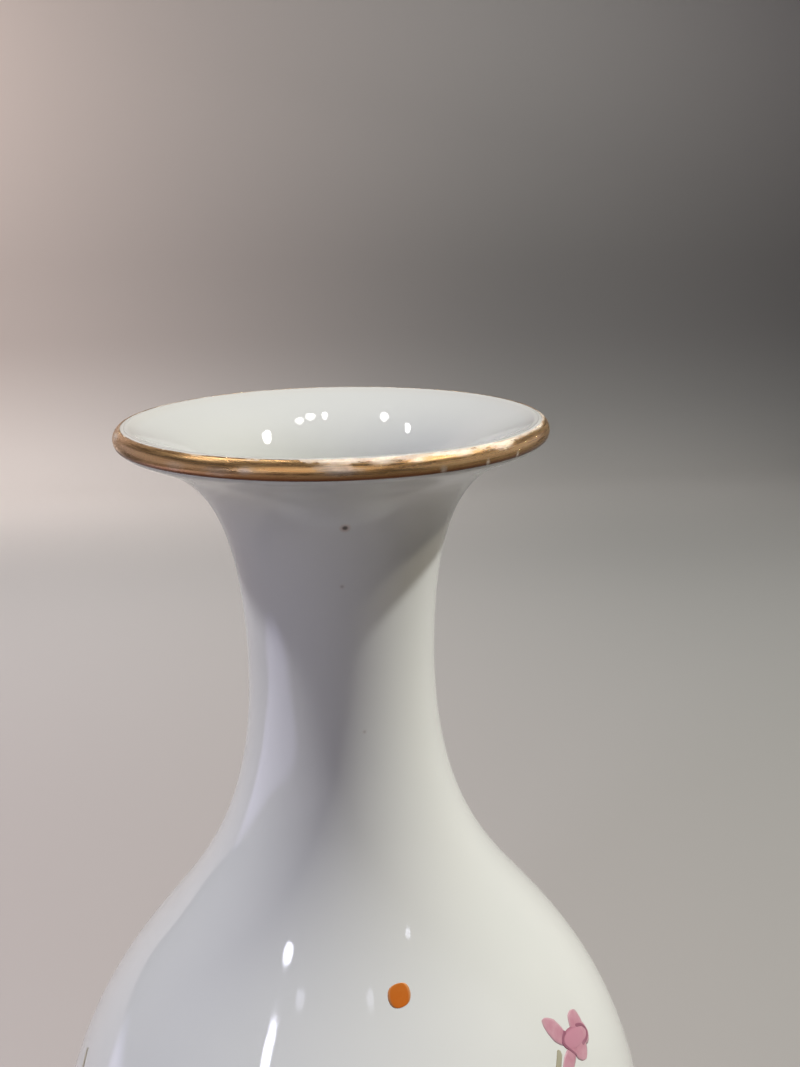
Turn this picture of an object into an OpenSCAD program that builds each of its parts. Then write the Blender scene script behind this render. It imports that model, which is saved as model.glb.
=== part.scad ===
// Yuhuchunping: a pear-shaped porcelain bottle with a trumpet mouth and a gilt lip.
// It is thrown in sections that are luted together with slip, turned, glazed inside
// and out, gilded at the lip and painted with enamels that stand a little proud of the glaze.
// Millimetres, +Z up, standing on z = 0 about the vertical axis, with -Y to the front.

/* [Outline] */
// Overall height, from the foot to the top of the lip
vase_h = 278; // [266:1:292]
// Diameter of the mouth across the lip
mouth_d = 85; // [78:0.5:94]
// Thickness of the rounded lip
lip_d = 4.4; // [3.6:0.1:5.2]
// Slope of the flare under the lip, in degrees below level
flare_slope = 27; // [20:1:36]
// Diameter of the neck at its narrowest
neck_d = 40.1; // [35:0.1:46]
// Depth of the narrowest point below the top of the lip
neck_drop = 50.2; // [44:0.2:57]
// Diameter of the belly at its widest
belly_d = 144.8; // [134:0.2:158]
// Height of the widest point above the foot
belly_h = 92; // [86:1:99]
// Diameter of the foot where it rests
foot_d = 88; // [80:0.5:96]
// Height of the foot's outer wall
foot_h = 10; // [8.5:0.5:13]
// How much wider the foot's radius is where it rests than at its top
foot_splay = 1.5; // [0:0.1:3]
// Slope of the belly where it meets the foot, in degrees above level
foot_slope = 46; // [38:1:54]

/* [Curve pulls] */
// Length of the handle that draws the flare in from the lip
flare_pull = 11.3; // [9:0.1:14]
// Length of the handle that holds the neck upright above its narrowest point
neck_pull_up = 40; // [33:1:43]
// Length of the handle that holds the neck upright below its narrowest point
neck_pull_down = 71.8; // [62:0.2:80]
// Length of the handle that holds the belly upright above its widest point
belly_pull_up = 63.8; // [54:0.2:74]
// Length of the handle that holds the belly upright below its widest point
belly_pull_down = 26.2; // [20:0.2:34]
// Length of the handle that leads the belly out of the foot
foot_pull = 33; // [27:1:38]

/* [Walls] */
// Thickness of the wall at the neck's narrowest point, glaze included
neck_wall = 5; // [4:0.1:6]
// Thickness of the wall at the belly's widest point, glaze included
belly_wall = 4.2; // [3.4:0.1:5.2]
// Thickness of the wall where it meets the foot, glaze included
low_wall = 5.6; // [4.6:0.1:7]
// Thickness of the base, glaze included
base_t = 6; // [5:0.5:8]
// Depth of the recess under the base
recess_h = 7; // [5.5:0.5:8]
// Thickness of the foot ring at its top, glaze included
foot_wall = 7; // [6:0.5:9]
// Width of the bevels along the foot's bare edge
foot_edge = 1; // [0.6:0.1:1.4]

/* [Glaze and gilding] */
// Thickness of the glaze
glaze_t = 0.3; // [0.2:0.05:0.5]
// Height of the bare edge that is left along the foot
bare_h = 2; // [1.5:0.1:3]
// Thickness of the gilding
gilt_t = 0.1; // [0.06:0.02:0.2]
// Where the gilding starts under the lip, in degrees below level
gilt_low = 28; // [15:1:60]
// Where the gilding ends over the lip, in degrees above level
gilt_high = 70; // [30:1:88]

/* [Luting joints] */
// Height of the joint between the neck and the shoulder
neck_joint_h = 186; // [176:1:198]
// Height of the joint between the shoulder and the lower body
belly_joint_h = 108; // [100:1:122]
// Height of the joint between the lower body and the foot ring
foot_joint_h = 4.5; // [3.8:0.1:5]
// Slant of the luted faces across the wall, in degrees
joint_bevel = 25; // [0:1:35]
// Thickness of the slip in a joint
slip_t = 0.8; // [0.4:0.1:1.2]
// Height of the step that centres the foot ring on the lower body
foot_step = 1.2; // [0.8:0.1:1.5]

/* [Enamels] */
// Thickness of the enamel on the glaze
enamel_t = 0.2; // [0.1:0.05:0.4]
// Clearance between the enamel and the glaze under it
enamel_seat = 0.05; // [0.02:0.01:0.1]
// How much thicker the enamel of a blossom's heart is
heart_rise = 0.1; // [0.05:0.05:0.3]
// Width of the iron-red dot
dot_w = 4.7; // [3.5:0.1:6]
// Length of the iron-red dot, up the shoulder
dot_l = 4.4; // [3.6:0.1:6]
// Height of the iron-red dot above the foot
dot_h = 168.8; // [160:0.2:180]
// Where the iron-red dot is round the vase, in degrees, with -90 at the front
dot_turn = -76; // [-180:1:180]
// Diameter of a blossom's heart
heart_d = 4.8; // [3.5:0.1:6]
// Width of a petal
petal_w = 4.6; // [3.4:0.1:5.6]
// Length of a petal, from the middle of the blossom
petal_l = 6; // [4.5:0.1:7.5]
// Length of the one petal that is drawn out to a point
long_petal_l = 10.6; // [8:0.1:13]
// Length of a leaf
leaf_l = 19; // [14:0.5:25]
// Width of a leaf
leaf_w = 6; // [4:0.5:9]
// Width of a stem
stem_w = 1.6; // [1.2:0.1:2]
// Width of a twig
twig_w = 1.1; // [0.8:0.1:1.4]

/* [Hidden] */

biscuit_colour = "#ece7dc";
slip_colour = "#dcd5c6";
glaze_colour = "#e9ece6";
gilt_colour = "#a9742f";
iron_red_colour = "#bd6520";
petal_colour = "#c78798";
heart_colour = "#d9a6b2";
leaf_colour = "#84905f";
stem_colour = "#86705a";

mouth_r = mouth_d / 2;
lip_r = lip_d / 2;
neck_r = neck_d / 2;
belly_r = belly_d / 2;
foot_r = foot_d / 2;
foot_top_r = foot_r - foot_splay;
recess_r = foot_r - foot_wall;
floor_h = recess_h + base_t;
foot_joint_r = (foot_r + recess_r) / 2;
neck_h = vase_h - neck_drop;
beyond = 10; // reach of cutting shapes past what they cut

curve_steps = 36; // straight runs along each curve of the outline
lip_steps = 15; // straight runs round half of the lip
stroke_steps = 8; // straight runs along each stroke of a stem
petal_steps = 10; // straight runs along each side of a petal or leaf
$fn = 128;

// Places on the glaze are [azimuth in degrees, height in hundredths of the vase's], and -90 is the front.
// Each blossom has its place, its turn in degrees and its size.
blossoms = [
    [[-29.9, 52.3], 0, 1],
    [[-90, 44.6], 150, 1.3],
    [[-57, 34.9], -50, 1.5],
    [[-147, 39.6], -20, 1.2]
];
petal_turns = [124, 27, -37, -98, -163];
// Each stem is a cubic curve over the glaze, and each twig one that starts beside a stem.
stems = [
    [[-92, 20.1], [-82, 38.1], [-58, 49.8], [-36.4, 52.9]],
    [[-141, 19.4], [-148, 33.1], [-158, 46.2], [-171.4, 48]]
];
twigs = [
    [[-71.8, 42.5], [-75, 43.5], [-79, 44.2], [-82.3, 44.5]],
    [[-82, 31.5], [-77, 31.1], [-71, 32.4], [-64.6, 34]],
    [[-148.2, 33.5], [-148.2, 34.5], [-148, 35.6], [-147.6, 36.5]]
];
stem_strokes = 5; // brush strokes that make up a stem
stroke_gap = 0.02; // share of a stem between two strokes
// Each leaf has its stem, where it grows along it, the way it points in degrees and its size.
leaves = [
    [0, 0.09, 28, 1.1], [0, 0.15, 150, 1.2], [0, 0.37, 175, 0.9],
    [0, 0.58, 110, 0.8], [0, 0.66, -25, 0.9], [0, 0.83, -45, 0.8],
    [1, 0.14, 160, 1.1], [1, 0.25, 28, 1.2], [1, 0.56, 190, 0.8]
];

// The outline is three cubic curves in [radius, height], drawn upwards from the foot.
lip_centre = [mouth_r - lip_r, vase_h - lip_r];
flare_end = lip_centre + lip_r * [sin(flare_slope), -cos(flare_slope)];
flare_in = -[cos(flare_slope), sin(flare_slope)];
low_curve = [
    [foot_top_r, foot_h],
    [foot_top_r, foot_h] + foot_pull * [cos(foot_slope), sin(foot_slope)],
    [belly_r, belly_h - belly_pull_down],
    [belly_r, belly_h]
];
high_curve = [
    [belly_r, belly_h],
    [belly_r, belly_h + belly_pull_up],
    [neck_r, neck_h - neck_pull_down],
    [neck_r, neck_h]
];
flare_curve = [
    [neck_r, neck_h],
    [neck_r, neck_h + neck_pull_up],
    flare_end + flare_pull * flare_in,
    flare_end
];

function point_on(c, s) =
    pow(1 - s, 3) * c[0] + 3 * pow(1 - s, 2) * s * c[1] + 3 * (1 - s) * s * s * c[2] + s * s * s * c[3];
function run_of(c, s) =
    pow(1 - s, 2) * (c[1] - c[0]) + 2 * (1 - s) * s * (c[2] - c[1]) + s * s * (c[3] - c[2]);
function outward(run) = [run[1], -run[0]] / norm(run);

// Stations along a curve: the point, its outward direction and the wall's thickness there.
function stations(c, wall_low, wall_high, first) = [
    for (i = [first:curve_steps])
        let (s = i / curve_steps)
        [point_on(c, s), outward(run_of(c, s)), wall_low + (wall_high - wall_low) * s]
];
outline = concat(
    stations(low_curve, low_wall, belly_wall, 0),
    stations(high_curve, belly_wall, neck_wall, 1),
    stations(flare_curve, neck_wall, lip_d, 1)
);

// The outer surface sunk by a depth, from the foot up, and the inner one, from the lip down.
function outer_side(depth) = [for (st = outline) st[0] - depth * st[1]];
function inner_side(depth) = [
    for (i = [len(outline) - 1:-1:0])
        let (st = outline[i])
        st[0] - (st[2] - depth) * st[1]
];
function lip_arc(depth, from, to) = [
    for (i = [0:lip_steps])
        let (a = from + (to - from) * i / lip_steps)
        lip_centre + (lip_r - depth) * [cos(a), sin(a)]
];

// Everything within the outer surface, and the hollow within the inner one.
module outer_shape(depth) polygon(concat(
    [[0, 0], [foot_r - depth - foot_edge, 0], [foot_r - depth, foot_edge], [foot_top_r - depth, foot_h]],
    outer_side(depth),
    lip_arc(depth, flare_slope - 90, 90),
    [[0, vase_h - depth]]
));
module cavity(depth) difference() {
    polygon(concat(
        [[0, vase_h + beyond], [lip_centre[0], vase_h + beyond]],
        lip_arc(depth, 90, 90 + flare_slope),
        inner_side(depth),
        [[recess_r, 0], [0, 0]]
    ));
    square([foot_r, floor_h - depth]);
}
// The recess that the foot ring encloses under the base.
module recess(depth) polygon([
    [0, -beyond],
    [recess_r + depth + foot_edge, -beyond],
    [recess_r + depth + foot_edge, 0],
    [recess_r + depth, foot_edge],
    [recess_r + depth - foot_splay, recess_h + depth],
    [0, recess_h + depth]
]);
module body_wall() difference() {
    outer_shape(glaze_t);
    cavity(glaze_t);
    recess(glaze_t);
}

// A luted joint crosses the wall at its slant, and the slip fills it.
function radius_at(h) = lookup(h, [for (st = outline) [st[0][1], st[0][0]]]);
function joint_run(h) =
    let (out = outward([radius_at(h + 1) - radius_at(h - 1), 2]))
    [out[0] * cos(joint_bevel) + out[1] * sin(joint_bevel),
     out[1] * cos(joint_bevel) - out[0] * sin(joint_bevel)];
function joint_height(h, r) = let (run = joint_run(h)) h + (r - radius_at(h)) * run[1] / run[0];
module above_joint(h, lift) polygon([
    [0, joint_height(h, 0) + lift],
    [belly_d, joint_height(h, belly_d) + lift],
    [belly_d, vase_h + belly_d],
    [0, vase_h + belly_d]
]);
module above_foot_joint(lift) {
    translate([0, foot_joint_h + foot_step + lift])
        square([foot_r, vase_h]);
    translate([foot_joint_r + lift, foot_joint_h + lift])
        square([belly_d, vase_h]);
}

// The part of the wall that lies within the first shape and outside the second.
module wall_between() difference() {
    intersection() {
        body_wall();
        children(0);
    }
    children(1);
}

// Enamel lies on the glaze as a film, and each shape is cut from it square to the surface.
module enamel_film(low, high, t) rotate_extrude() intersection() {
    difference() {
        outer_shape(-enamel_seat - t);
        outer_shape(-enamel_seat);
    }
    translate([0, low]) square([belly_d, high - low]);
}
// Azimuth and height in millimetres of a place, and of one along a curve.
function spot(place) = [place[0], place[1] / 100 * vase_h];
function spot_on(c, s) = spot(point_on(c, s));
function glaze_normal(h) = outward([radius_at(h + 1) - radius_at(h - 1), 2]);
// Stands a shape on the glaze at a spot: its X runs round the vase and its Y up the surface.
module on_glaze(at) {
    out = glaze_normal(at[1]);
    rotate([0, 0, at[0]])
        translate([radius_at(at[1]), 0, at[1]])
        rotate([0, 90 - atan2(out[1], out[0]), 0])
        rotate([0, 0, 90])
        linear_extrude(beyond, center = true)
        children();
}
// Millimetres round and up the glaze from one spot to another.
function across_glaze(from, to) = [
    (to[0] - from[0]) * PI / 180 * radius_at(to[1]),
    (to[1] - from[1]) / glaze_normal(from[1])[0]
];

// Half width of a petal and a leaf along their length, as shares of their widest.
function petal_half(t) = min(1, 0.5 + t) * (1 - pow(t, 3));
function leaf_half(t) = sin(180 * pow(t, 0.8));
module petal(l, w) polygon(concat(
    [for (i = [0:petal_steps]) let (t = i / petal_steps) [l * t, w / 2 * petal_half(t)]],
    [for (i = [petal_steps - 1:-1:0]) let (t = i / petal_steps) [l * t, -w / 2 * petal_half(t)]]
));
module leaf(l, w) polygon(concat(
    [for (i = [0:petal_steps]) let (t = i / petal_steps) [l * t, w / 2 * leaf_half(t)]],
    [for (i = [petal_steps - 1:-1:1]) let (t = i / petal_steps) [l * t, -w / 2 * leaf_half(t)]]
));
module blossom_outline(b) rotate(b[1]) scale(b[2])
    for (i = [0:len(petal_turns) - 1])
        rotate(petal_turns[i]) petal(i == 0 ? long_petal_l : petal_l, petal_w);
module heart_outline(b) scale(b[2]) circle(d = heart_d, $fn = 32);
// A brush stroke along part of a curve, drawn about its own middle and pointed at both ends.
function stroke_half(t) = sqrt(sin(180 * t));
module stroke(c, from, to, w) {
    middle = spot_on(c, (from + to) / 2);
    line = [
        for (i = [0:stroke_steps])
            across_glaze(middle, spot_on(c, from + (to - from) * i / stroke_steps))
    ];
    sides = [
        for (i = [1:stroke_steps - 1])
            outward(line[i + 1] - line[i - 1]) * w / 2 * stroke_half(i / stroke_steps)
    ];
    on_glaze(middle) polygon(concat(
        [line[0]],
        [for (i = [1:stroke_steps - 1]) line[i] + sides[i - 1]],
        [line[stroke_steps]],
        [for (i = [stroke_steps - 1:-1:1]) line[i] - sides[i - 1]]
    ));
}
module film_stroke(c, from, to, w) intersection() {
    enamel_film(spot_on(c, from)[1] - stem_w, spot_on(c, to)[1] + stem_w, enamel_t);
    stroke(c, from, to, w);
}

module mouth_and_neck() color(biscuit_colour)
    rotate_extrude() intersection() {
        body_wall();
        above_joint(neck_joint_h, slip_t / 2);
    }
module shoulder() color(biscuit_colour)
    rotate_extrude() wall_between() {
        above_joint(belly_joint_h, slip_t / 2);
        above_joint(neck_joint_h, -slip_t / 2);
    }
module lower_body() color(biscuit_colour)
    rotate_extrude() wall_between() {
        above_foot_joint(slip_t / 2);
        above_joint(belly_joint_h, -slip_t / 2);
    }
module foot_ring() color(biscuit_colour)
    rotate_extrude() difference() {
        body_wall();
        above_foot_joint(-slip_t / 2);
    }

module neck_slip() color(slip_colour)
    rotate_extrude() wall_between() {
        above_joint(neck_joint_h, -slip_t / 2);
        above_joint(neck_joint_h, slip_t / 2);
    }
module belly_slip() color(slip_colour)
    rotate_extrude() wall_between() {
        above_joint(belly_joint_h, -slip_t / 2);
        above_joint(belly_joint_h, slip_t / 2);
    }
module foot_slip() color(slip_colour)
    rotate_extrude() wall_between() {
        above_foot_joint(-slip_t / 2);
        above_foot_joint(slip_t / 2);
    }

module inner_glaze() color(glaze_colour)
    rotate_extrude() difference() {
        cavity(glaze_t);
        cavity(0);
    }
module outer_glaze() color(glaze_colour)
    rotate_extrude() difference() {
        outer_shape(0);
        outer_shape(glaze_t);
        square([belly_d, bare_h]);
        translate([0, lip_centre[1]]) square([lip_centre[0], beyond]);
    }
module base_glaze() color(glaze_colour)
    rotate_extrude() difference() {
        recess(glaze_t);
        recess(0);
        translate([0, bare_h - belly_d]) square(belly_d);
    }
module gilt_rim() color(gilt_colour)
    rotate_extrude() polygon(concat(
        lip_arc(-gilt_t, -gilt_low, gilt_high),
        lip_arc(0, gilt_high, -gilt_low)
    ));

module iron_red_dot() color(iron_red_colour)
    intersection() {
        enamel_film(dot_h - dot_l, dot_h + dot_l, enamel_t);
        on_glaze([dot_turn, dot_h])
            polygon([for (a = [0:10:350]) [dot_w / 2 * cos(a), dot_l / 2 * sin(a)]]);
    }
module rose_petals() color(petal_colour)
    for (b = blossoms) {
        at = spot(b[0]);
        intersection() {
            enamel_film(at[1] - 2 * long_petal_l, at[1] + 2 * long_petal_l, enamel_t);
            on_glaze(at) difference() {
                blossom_outline(b);
                heart_outline(b);
            }
        }
    }
module rose_hearts() color(heart_colour)
    for (b = blossoms) {
        at = spot(b[0]);
        intersection() {
            enamel_film(at[1] - 2 * heart_d, at[1] + 2 * heart_d, enamel_t + heart_rise);
            on_glaze(at) heart_outline(b);
        }
    }
module green_leaves() color(leaf_colour)
    for (f = leaves) {
        at = spot_on(stems[f[0]], f[1]);
        intersection() {
            enamel_film(at[1] - 2 * leaf_l, at[1] + 2 * leaf_l, enamel_t);
            on_glaze(at) rotate(f[2]) translate([stem_w, 0]) leaf(leaf_l * f[3], leaf_w * f[3]);
        }
    }
module umber_stems() color(stem_colour) {
    for (c = stems)
        for (i = [0:stem_strokes - 1])
            film_stroke(c, i / stem_strokes, (i + 1) / stem_strokes - stroke_gap, stem_w);
    for (c = twigs)
        film_stroke(c, 0, 1, twig_w);
}

mouth_and_neck();
shoulder();
lower_body();
foot_ring();
neck_slip();
belly_slip();
foot_slip();
inner_glaze();
outer_glaze();
base_glaze();
gilt_rim();
iron_red_dot();
rose_petals();
rose_hearts();
green_leaves();
umber_stems();
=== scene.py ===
"""A porcelain yuhuchunping vase: white glaze, a worn gilt lip and overglaze enamels.

Lengths on the vase are in millimetres, as a potter would measure them, and MM turns them to metres.
The stage and the lamps are in metres. The vase stands on z = 0 about the vertical axis, and -Y is
towards the camera.
"""

import math

import bmesh
import bpy
from mathutils import Matrix, Vector, geometry


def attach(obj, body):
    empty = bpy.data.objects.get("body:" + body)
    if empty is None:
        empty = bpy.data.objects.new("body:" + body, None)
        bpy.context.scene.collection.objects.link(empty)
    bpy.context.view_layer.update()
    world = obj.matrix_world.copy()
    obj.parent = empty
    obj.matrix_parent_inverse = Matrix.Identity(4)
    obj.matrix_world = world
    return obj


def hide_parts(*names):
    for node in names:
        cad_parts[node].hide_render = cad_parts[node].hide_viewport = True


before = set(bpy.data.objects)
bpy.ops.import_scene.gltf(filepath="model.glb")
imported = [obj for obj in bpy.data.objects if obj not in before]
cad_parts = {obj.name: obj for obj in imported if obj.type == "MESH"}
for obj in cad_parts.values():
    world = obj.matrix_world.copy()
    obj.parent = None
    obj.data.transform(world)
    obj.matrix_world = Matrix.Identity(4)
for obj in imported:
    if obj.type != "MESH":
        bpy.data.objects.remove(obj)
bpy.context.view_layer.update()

MM = 0.001

# Outline of the vase, as it is turned. A pull is how far a curve is drawn out along its end's direction.
VASE_H = 278.0
MOUTH_R = 42.5
LIP_R = 2.2
FLARE_SLOPE = math.radians(27)
FLARE_PULL = 11.3
NECK_R = 20.05
NECK_H = VASE_H - 50.2
NECK_PULL_UP = 40.0
NECK_PULL_DOWN = 71.8
BELLY_R = 72.4
BELLY_H = 92.0
BELLY_PULL_UP = 63.8
BELLY_PULL_DOWN = 26.2
FOOT_R = 44.0
FOOT_TOP_R = 42.5
FOOT_H = 10.0
FOOT_SLOPE = math.radians(46)
FOOT_PULL = 33.0

# Walls, floor and foot
NECK_WALL = 5.0
BELLY_WALL = 4.2
LOW_WALL = 5.6
FLOOR_H = 13.0
FLOOR_CORNER = 1.5
RECESS_H = 7.0
RECESS_R = 37.0
FOOT_SPLAY = 1.5
BARE_H = 2.0

# Coats. The glaze rolls in at its edges, where it was wiped off the foot, and it pools in the corner
# above the foot and in the recess under it: (out and down from the corner).
GLAZE = 0.3
FOOT_ROLL = 0.12
RECESS_ROLL = 0.1
FOOT_POOL = ((0.10, 0.7), (0.12, 0.2))
RECESS_POOL = ((0.6, 1.2), (0.0, 0.4), (-0.9, 0.0))
GILT = 0.1
GILT_LOW = math.radians(-28)
GILT_HIGH = math.radians(70)

# The middle of the lip's rounding, and the angles about it where the flare ends, at the top, and where
# the inside of the mouth starts
LIP = Vector((MOUTH_R - LIP_R, VASE_H - LIP_R))
LIP_OUT = FLARE_SLOPE - math.pi / 2
LIP_TOP = math.pi / 2
LIP_IN = math.pi / 2 + FLARE_SLOPE

# How finely the vase is turned: points along each curve, round the lip, and about the axis
CURVE_POINTS = 64
LIP_POINTS = 16
TURN_STEPS = 200
SEAM = 0.001


# The outline

def outline_walls():
    """The outer surface from the foot up: each point, its outward direction and the wall there."""
    up = Vector((0, 1))
    foot_top = Vector((FOOT_TOP_R, FOOT_H))
    foot_out = Vector((math.cos(FOOT_SLOPE), math.sin(FOOT_SLOPE)))
    belly = Vector((BELLY_R, BELLY_H))
    neck = Vector((NECK_R, NECK_H))
    flare_end = LIP + LIP_R * Vector((math.sin(FLARE_SLOPE), -math.cos(FLARE_SLOPE)))
    flare_in = -Vector((math.cos(FLARE_SLOPE), math.sin(FLARE_SLOPE)))
    runs = (
        (foot_top, foot_top + FOOT_PULL * foot_out, belly - BELLY_PULL_DOWN * up, belly,
         LOW_WALL, BELLY_WALL),
        (belly, belly + BELLY_PULL_UP * up, neck - NECK_PULL_DOWN * up, neck,
         BELLY_WALL, NECK_WALL),
        (neck, neck + NECK_PULL_UP * up, flare_end + FLARE_PULL * flare_in, flare_end,
         NECK_WALL, 2 * LIP_R),
    )
    found = []
    for a, b, c, d, wall_low, wall_high in runs:
        points = geometry.interpolate_bezier(a, b, c, d, CURVE_POINTS)
        last = len(points) - 1
        for i, point in enumerate(points):
            if found and i == 0:
                continue
            if i == 0:
                run = b - a
            elif i == last:
                run = d - c
            else:
                run = points[i + 1] - points[i - 1]
            outward = Vector((run.y, -run.x)).normalized()
            found.append((point, outward, wall_low + (wall_high - wall_low) * i / last))
    return found


WALLS = outline_walls()
HEIGHTS = [point.y for point, outward, wall in WALLS]
RADII = [point.x for point, outward, wall in WALLS]


def outer_side(depth=0.0):
    """The outer surface, sunk by a depth, from the foot up to the lip."""
    return [point - depth * outward for point, outward, wall in WALLS]


def inner_side(depth=0.0):
    """The inner surface, sunk by a depth into the wall, from the lip down to the floor."""
    down = [point - (wall - depth) * outward for point, outward, wall in reversed(WALLS)]
    return [p for p in down if p.y > FLOOR_H - depth]


def lip_arc(start, end, radius):
    """Points round the lip's own centre, from one angle to another."""
    turn = (end - start) / LIP_POINTS
    return [LIP + radius * Vector((math.cos(start + i * turn), math.sin(start + i * turn)))
            for i in range(LIP_POINTS + 1)]


def radius_at(height):
    """Radius of the glazed surface at a height on the body."""
    for i in range(1, len(HEIGHTS)):
        if HEIGHTS[i] >= height:
            share = (height - HEIGHTS[i - 1]) / (HEIGHTS[i] - HEIGHTS[i - 1])
            return RADII[i - 1] + share * (RADII[i] - RADII[i - 1])
    return RADII[-1]


def surface_point(azimuth, height, lift=0.0):
    """A point on the glazed body, in metres, at an azimuth in degrees and a height, lifted off it."""
    r = (radius_at(height) + lift) * MM
    a = math.radians(azimuth)
    return Vector((r * math.cos(a), r * math.sin(a), height * MM))


# Pieces

def in_scene(name, mesh, material):
    """Puts a bmesh into the scene as an object with smooth faces."""
    data = bpy.data.meshes.new(name)
    mesh.to_mesh(data)
    mesh.free()
    for face in data.polygons:
        face.use_smooth = True
    data.materials.append(material)
    made = bpy.data.objects.new(name, data)
    bpy.context.scene.collection.objects.link(made)
    return made


def finished(name, mesh, material, nodes):
    """Turns a bmesh into a piece of the vase that rides on it and stands for its CAD nodes."""
    piece = in_scene(name, mesh, material)
    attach(piece, "root")
    if nodes:
        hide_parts(*nodes)
    return piece


def turned(outline):
    """A closed outline of (radius, height) points, turned about the axis as on a wheel."""
    mesh = bmesh.new()
    ring = [mesh.verts.new((r * MM, 0, z * MM)) for r, z in outline]
    edges = [mesh.edges.new(pair) for pair in zip(ring, ring[1:] + ring[:1])]
    bmesh.ops.spin(mesh, geom=ring + edges, cent=(0, 0, 0), axis=(0, 0, 1),
                   angle=2 * math.pi, steps=TURN_STEPS, use_merge=True)
    bmesh.ops.remove_doubles(mesh, verts=mesh.verts, dist=SEAM * MM)
    bmesh.ops.recalc_face_normals(mesh, faces=mesh.faces)
    return mesh


# Materials

# Sockets of a Mix node that mixes colours: the upper one's share, the lower and the upper colour, and
# what comes out
SHARE, UNDER, OVER = 0, 6, 7
MIXED = 2

GLASS_IOR = 1.5


def hex_colour(code):
    """An sRGB hex colour as linear red, green, blue and alpha."""
    parts = [int(code[i:i + 2], 16) / 255 for i in (1, 3, 5)]
    return tuple(c / 12.92 if c <= 0.04045 else ((c + 0.055) / 1.055) ** 2.4 for c in parts) + (1.0,)


def add_node(tree, kind, sockets=None, **settings):
    """Adds a node with its settings. A socket takes a value, or a link from another node's output."""
    made = tree.nodes.new(kind)
    for name, value in settings.items():
        setattr(made, name, value)
    for name, value in (sockets or {}).items():
        if isinstance(value, bpy.types.NodeSocket):
            tree.links.new(value, made.inputs[name])
        else:
            made.inputs[name].default_value = value
    return made


def new_material(name):
    """An empty material with its shader and its Object coordinates."""
    material = bpy.data.materials.new(name)
    material.use_nodes = True
    tree = material.node_tree
    tree.nodes.clear()
    shader = add_node(tree, "ShaderNodeBsdfPrincipled")
    add_node(tree, "ShaderNodeOutputMaterial", {"Surface": shader.outputs["BSDF"]})
    place = add_node(tree, "ShaderNodeTexCoord").outputs["Object"]
    return material, tree, shader, place


def per_mm(size):
    """A texture scale whose features are about this many millimetres across."""
    return 1 / (size * MM)


# Over the crest of the lip, from and to a height, the glaze is painted greyer: painted shade on the lip's
# top beside the gold
CREST = (VASE_H - 1.2, VASE_H - 0.4)
# Iron specks in the clay: (azimuth in degrees, height, radius, strength)
IRON_SPECKS = (
    (-87.1, 262.1, 0.7, 0.85),
    (-88.8, 249.5, 0.4, 0.2),
    (-78.7, 218.1, 0.4, 0.15),
    (24.0, 188.0, 0.45, 0.35),
    (118.0, 150.0, 0.45, 0.35),
)
# A speck's brown halo and its burnt core: (where it fades from and to, in radii, its strength, its colour)
SPECK_LAYERS = ((0.5, 1.9, 0.55, "#b98a68"), (0.35, 1.0, 1.0, "#2c1a12"))
PINHOLE_RELIEF = 0.06


def porcelain_glaze(name, pooled, thin, specks):
    """Clear feldspar glaze over white porcelain: glassy, faintly greenish, with a slow ripple where it
    ran and pooled, and a few iron specks that burnt through it."""
    material, tree, shader, place = new_material(name)
    pooling = add_node(tree, "ShaderNodeTexNoise",
                       {"Vector": place, "Scale": per_mm(38), "Detail": 2.0, "Roughness": 0.45})
    tint = add_node(tree, "ShaderNodeMix",
                    {SHARE: pooling.outputs["Fac"], UNDER: hex_colour(pooled), OVER: hex_colour(thin)},
                    data_type="RGBA")
    height = add_node(tree, "ShaderNodeSeparateXYZ", {"Vector": place}).outputs["Z"]
    crest = add_node(tree, "ShaderNodeMapRange",
                     {"Value": height, "From Min": CREST[0] * MM, "From Max": CREST[1] * MM})
    # Painted shade: the glaze is greyer over the crest of the lip.
    crest_shaded = add_node(tree, "ShaderNodeMix",
                       {SHARE: crest.outputs["Result"], UNDER: tint.outputs[MIXED],
                        OVER: hex_colour("#c6c6c1")}, data_type="RGBA")
    colour = crest_shaded.outputs[MIXED]
    for azimuth, up, size, strength in specks:
        reach = add_node(tree, "ShaderNodeVectorMath", {0: place, 1: surface_point(azimuth, up)},
                         operation="DISTANCE")
        for start, end, density, stain in SPECK_LAYERS:
            layer = add_node(tree, "ShaderNodeMapRange",
                             {"Value": reach.outputs["Value"], "From Min": start * size * MM,
                              "From Max": end * size * MM, "To Min": density * strength, "To Max": 0.0},
                             interpolation_type="SMOOTHSTEP")
            stained = add_node(tree, "ShaderNodeMix",
                               {SHARE: layer.outputs["Result"], UNDER: colour, OVER: hex_colour(stain)},
                               data_type="RGBA")
            colour = stained.outputs[MIXED]
    tree.links.new(colour, shader.inputs["Base Color"])
    ripple = add_node(tree, "ShaderNodeTexNoise",
                      {"Vector": place, "Scale": per_mm(14), "Detail": 1.5, "Roughness": 0.4})
    pinholes = add_node(tree, "ShaderNodeTexNoise",
                        {"Vector": place, "Scale": per_mm(1.6), "Detail": 1.0, "Roughness": 0.4})
    relief = add_node(tree, "ShaderNodeMath",
                      {0: pinholes.outputs["Fac"], 1: PINHOLE_RELIEF, 2: ripple.outputs["Fac"]},
                      operation="MULTIPLY_ADD")
    bump = add_node(tree, "ShaderNodeBump",
                    {"Height": relief.outputs["Value"], "Strength": 0.5, "Distance": 0.12 * MM})
    tree.links.new(bump.outputs["Normal"], shader.inputs["Normal"])
    haze = add_node(tree, "ShaderNodeMapRange",
                    {"Value": pooling.outputs["Fac"], "From Min": 0.3, "From Max": 0.7,
                     "To Min": 0.03, "To Max": 0.055})
    tree.links.new(haze.outputs["Result"], shader.inputs["Roughness"])
    shader.inputs["IOR"].default_value = GLASS_IOR
    return material


# How far below the edge of the glaze the bare clay is burnt
BURN_H = 1.1


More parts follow.
